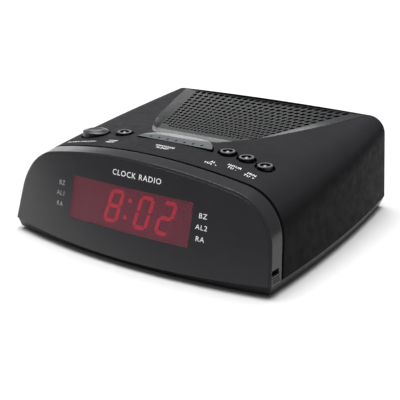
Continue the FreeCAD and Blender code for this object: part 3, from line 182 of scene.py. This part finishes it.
def paint(material, *names):
    """Give CAD nodes a material."""
    for name in names:
        slots = NODES[name].material_slots
        if not slots:
            NODES[name].data.materials.append(material)
        for slot in slots:
            slot.material = material


# ---------------------------------------------------------------- materials

def cabinet_materials():
    shell = finish("cabinet_plastic", tone(34, 34, 37), 0.6, grain=0.012 * MM, grain_size=0.35 * MM,
                   soften=0.4 * MM, Specular_IOR_Level=0.06)
    # Painted shade: the upright sides of the cabinet take a darker colour than its top.
    paint(painted_shade_walls(shell, tone(16, 16, 17)), "upper_cabinet")
    base = finish("base_plastic", tone(11, 11, 12), 0.3, grain=0.004 * MM, grain_size=0.5 * MM,
                  soften=0.4 * MM, Specular_IOR_Level=0.2)
    paint(base, "lower_cabinet", "battery_door")
    grille = finish("grille_plastic", tone(28, 29, 31), 0.28, grain=0.004 * MM, soften=0.2 * MM,
                    Specular_IOR_Level=0.4)
    paint(grille, "speaker_grille")


def front_materials():
    # The bezel's strong edge lightening is a painted highlight along the rim of the lens.
    paint(finish("bezel_plastic", tone(38, 38, 40), 0.2, mottle=0.03, grain=0.001 * MM, edge=0.6,
                 edge_gain=4.0, soften=0.2 * MM, Specular_IOR_Level=0.4), "front_bezel")
    paint(finish("lens_plastic", tone(35, 35, 38), 0.2, mottle=0.03, grain=0.0004 * MM, soften=0.15 * MM),
          "front_lens")
    paint(finish("window_plastic", tone(126, 62, 76), 0.22, mottle=0.03, grain=0.0004 * MM, Alpha=0.5),
          "display_window")
    paint(finish("mask_plastic", tone(18, 18, 18), 0.7, grain=0.01 * MM), "display_mask")
    paint(finish("display_plastic", tone(36, 12, 16), 0.6, grain=0.006 * MM), "led_display")
    paint(finish("lit_red", tone(190, 24, 46), 0.4, grain=0.002 * MM, Emission_Color=tone(255, 8, 44),
                 Emission_Strength=0.8), "lit_segments")
    paint(finish("unlit_red", tone(70, 22, 28), 0.4, grain=0.002 * MM), "unlit_segments")
    paint(finish("lamp_plastic", tone(90, 30, 30), 0.3, grain=0.002 * MM), "indicator_lamps")


def button_materials():
    # Painted shade: the black goes on the upright sides of the buttons and the snooze bar, while their tops
    # keep the lighter colour.
    black = tone(10, 10, 11)
    silver = finish("button_plastic", tone(108, 108, 111), 0.28, mottle=0.04, grain=0.001 * MM,
                    edge=0.4, edge_gain=1.4, Metallic=0.4)
    paint(painted_shade_walls(silver, black), "time_button", "alarm_set_button", "hour_button", "minute_button")
    oval = finish("alarm_button_plastic", tone(44, 44, 46), 0.3, mottle=0.04, grain=0.001 * MM)
    paint(painted_shade_walls(oval, black), "alarm_button")
    bar = finish("snooze_plastic", tone(84, 87, 89), 0.24, mottle=0.04, grain=0.001 * MM,
                 soften=0.3 * MM)
    paint(painted_shade_walls(bar, black), "snooze_bar")


def under_materials():
    paint(finish("foot_rubber", tone(40, 40, 40), 0.85, grain=0.03 * MM, grain_size=0.6 * MM), "rubber_feet")
    paint(finish("screw_steel", tone(170, 170, 168), 0.35, grain=0.003 * MM, Metallic=1.0),
          "case_screws", "board_screws", "transformer_screws")
    paint(finish("label_foil", tone(150, 150, 152), 0.38, grain=0.002 * MM, Metallic=0.8), "rating_plate")
    paint(finish("gland_rubber", tone(34, 34, 34), 0.7, grain=0.01 * MM), "cord_gland", "antenna_gland")


def inner_materials():
    board = finish("board_laminate", tone(150, 112, 60), 0.5, mottle=0.15, grain=0.01 * MM)
    paint(board, "main_board", "key_board", "display_board", "speaker_terminals")
    black = finish("switch_plastic", tone(32, 32, 33), 0.5, grain=0.01 * MM)
    paint(black, "switch_housings", "clock_chip", "tuner_chip", "battery_snap", "transformer_bobbin")
    white = finish("plunger_plastic", tone(205, 203, 192), 0.45, grain=0.004 * MM)
    paint(white, "board_sockets", *[name for name in NODES if name.endswith("_plunger")])
    tin = finish("can_steel", tone(178, 178, 176), 0.32, mottle=0.1, grain=0.003 * MM, Metallic=1.0)
    paint(tin, "tuning_cans", "speaker_basket", "transformer_strap")
    paint(finish("capacitor_sleeve", tone(34, 40, 84), 0.3, grain=0.002 * MM), "capacitors")
    paint(finish("magnet_ferrite", tone(52, 52, 55), 0.6, mottle=0.2, grain=0.02 * MM),
          "speaker_magnet", "ferrite_rod")
    paint(wound("copper_wire", tone(176, 96, 50)), "voice_coil", "antenna_coil", "transformer_winding")
    paint(finish("cone_paper", tone(30, 30, 31), 0.9, mottle=0.2, grain=0.03 * MM, grain_size=0.8 * MM),
          "speaker_cone", "speaker_dust_cap")
    paint(finish("gasket_foam", tone(44, 44, 46), 0.95, mottle=0.25, grain=0.08 * MM, grain_size=0.6 * MM),
          "speaker_gasket")
    paint(finish("core_steel", tone(92, 90, 88), 0.5, mottle=0.2, grain=0.01 * MM, Metallic=0.8),
          "transformer_core")
    paint(finish("ribbon_insulation", tone(150, 150, 152), 0.5, grain=0.004 * MM),
          "key_ribbon", "display_ribbon")
    paint(finish("lead_insulation", tone(176, 34, 30), 0.42, grain=0.004 * MM),
          "speaker_leads", "transformer_leads", "antenna_leads", "battery_leads")


# ---------------------------------------------------------------- lettering

INK = finish("white_ink", tone(248, 248, 248), 0.5, mottle=0.06, edge=0.0)
FAINT_INK = finish("faint_ink", tone(150, 150, 152), 0.5, mottle=0.1, edge=0.0)
CAPITAL_SHARE = 0.69
LETTER_LIFT = 0.03 * MM
CAST_HEIGHT = 20 * MM
ABOVE_TOP = 40 * MM
LEAN = math.radians(14.7)
FACE_OUT = Vector((0, -math.cos(LEAN), math.sin(LEAN)))
FACE_UP = Vector((0, math.sin(LEAN), math.cos(LEAN)))
FACE_FOOT = Vector((0, -67.0, 5.8)) * MM


def surface(*names):
    """The faces of these CAD nodes, for the rays that lay lettering on them."""
    vertices, faces = [], []
    for name in names:
        mesh = NODES[name].data
        first = len(vertices)
        vertices += [vertex.co.copy() for vertex in mesh.vertices]
        faces += [[first + index for index in polygon.vertices] for polygon in mesh.polygons]
    return BVHTree.FromPolygons(vertices, faces)


def legend(name, lines, height, place, across, up, target, material):
    """Printed words: flat letters with capitals of the given height, centred on a place and laid on the
    surface behind them."""
    curve = bpy.data.curves.new(name, "FONT")
    curve.body = "\n".join(lines)
    curve.size = height / CAPITAL_SHARE
    curve.align_x = "CENTER"
    curve.align_y = "CENTER"
    curve.space_line = 1.05
    curve.space_character = 1.15
    curve.resolution_u = 3
    source = bpy.data.objects.new(name, curve)
    mesh = bpy.data.meshes.new_from_object(source)
    bpy.data.objects.remove(source)
    out = across.cross(up).normalized()
    for vertex in mesh.vertices:
        start = place + across * vertex.co.x + up * vertex.co.y + out * CAST_HEIGHT
        hit = target.ray_cast(start, -out)[0]
        vertex.co = hit + out * LETTER_LIFT
    mesh.materials.append(material)
    piece = bpy.data.objects.new(name, mesh)
    bpy.context.scene.collection.objects.link(piece)
    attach(piece, "radio")


def front_legends():
    """Lamp names in a column on each side of the display, and the words above it."""
    face = surface("front_lens")
    across = Vector((1, 0, 0))

    def at(x, rise):
        return FACE_FOOT + across * x * MM + FACE_UP * rise * MM

    lamp_rises, lamp_height = (14.8, 19.7, 24.5), 2.1 * MM
    title_x, title_rise, title_height = 3.0, 34.9, 2.4 * MM
    for side, x, names, ink in (("left", -39.6, ("RA", "AL1", "BZ"), FAINT_INK),
                                ("right", 37.5, ("RA", "AL2", "BZ"), INK)):
        for word, rise in zip(names, lamp_rises):
            legend("legend_%s_%s" % (side, word.lower()), [word], lamp_height, at(x, rise), across, FACE_UP,
                   face, ink)
    legend("legend_front", ["CLOCK RADIO"], title_height, at(title_x, title_rise), across, FACE_UP,
           face, INK)


def top_legends():
    """Button names: for each its lines, the height of its capitals and its place, in millimetres."""
    top = surface("upper_cabinet")
    words = {"snooze": (["SNOOZE", "SLEEP"], 1.6, 2.6, -37.3),
             "alarm_set": (["AL", "VOL +"], 1.4, 29.4, -39.6),
             "hour": (["HOUR", "TU -"], 1.5, 38.7, -37.1),
             "minute": (["MIN", "TU +"], 1.5, 47.6, -38.1),
             "time": (["TIME", "MEM"], 1.5, -25.9, -38.9),
             "alarm": (["ALARM ON/OFF"], 1.5, -43.1, -40.2)}
    for name, (lines, height, x, y) in words.items():
        legend("legend_" + name, lines, height * MM, Vector((x * MM, y * MM, ABOVE_TOP)),
               Vector((1, 0, 0)), Vector((0, 1, 0)), top, INK)


# ---------------------------------------------------------------- floor, light and camera

def floor():
    """A pale flat floor that reaches far past every view."""
    mesh = bpy.data.meshes.new("floor")
    reach = 40.0
    corners = [(-reach, -reach, 0), (reach, -reach, 0), (reach, reach, 0), (-reach, reach, 0)]
    mesh.from_pydata(corners, [], [(0, 1, 2, 3)])
    material = finish("floor_paint", tone(202, 202, 202), 0.7, mottle=0.01, edge=0.0)
    mesh.materials.append(material)
    piece = bpy.data.objects.new("floor", mesh)
    bpy.context.scene.collection.objects.link(piece)


def softbox(name, place, target, width, height, power):
    """A rectangular panel light that faces the target; metres and watts."""
    light = bpy.data.lights.new(name, "AREA")
    light.shape = "RECTANGLE"
    light.size = width
    light.size_y = height
    light.energy = power
    lamp = bpy.data.objects.new(name, light)
    lamp.location = place
    lamp.rotation_euler = (Vector(target) - Vector(place)).to_track_quat("-Z", "Y").to_euler()
    bpy.context.scene.collection.objects.link(lamp)


def sun(direction, strength, angle):
    """Wide, even light that comes from the given direction, over a disc of the given angle in degrees."""
    light = bpy.data.lights.new("key_light", "SUN")
    light.energy = strength
    light.angle = math.radians(angle)
    lamp = bpy.data.objects.new("key_light", light)
    lamp.rotation_euler = Vector(direction).to_track_quat("Z", "Y").to_euler()
    bpy.context.scene.collection.objects.link(lamp)


def studio():
    """A bright pale room: even light from above and behind, a panel at the rear and one at the left."""
    floor()
    world = bpy.data.worlds.new("studio")
    world.use_nodes = True
    world.node_tree.nodes["Background"].inputs["Color"].default_value = (1, 1, 1, 1)
    world.node_tree.nodes["Background"].inputs["Strength"].default_value = 0.22
    bpy.context.scene.world = world
    bpy.context.scene.view_settings.view_transform = "Standard"
    sun(direction=(-0.15, 0.1, 1.0), strength=5.6, angle=55)
    softbox("rear_light", place=(-0.72, 0.85, 0.19), target=(0, 0, 0.04), width=0.7, height=0.24, power=0.66)
    softbox("left_light", place=(-0.8, -0.2, 0.1), target=(0, 0, 0.03), width=0.2, height=0.2, power=0.4)


def camera():
    """The eye stands to the right of the front and looks down at the radio."""
    azimuth, elevation, distance = math.radians(33.372), math.radians(20.37), 0.44045
    target = Vector((-15.54, 19.60, 1.11)) * MM
    back = Vector((math.sin(azimuth) * math.cos(elevation), -math.cos(azimuth) * math.cos(elevation),
                   math.sin(elevation)))
    data = bpy.data.cameras.new("camera")
    data.lens = 75.12
    data.sensor_width = 36
    data.clip_start = 0.01
    eye = bpy.data.objects.new("camera", data)
    eye.location = target + back * distance
    eye.rotation_euler = back.to_track_quat("Z", "Y").to_euler()
    bpy.context.scene.collection.objects.link(eye)
    bpy.context.scene.camera = eye


camera()
cabinet_materials()
front_materials()
button_materials()
under_materials()
inner_materials()
front_legends()
top_legends()
studio()
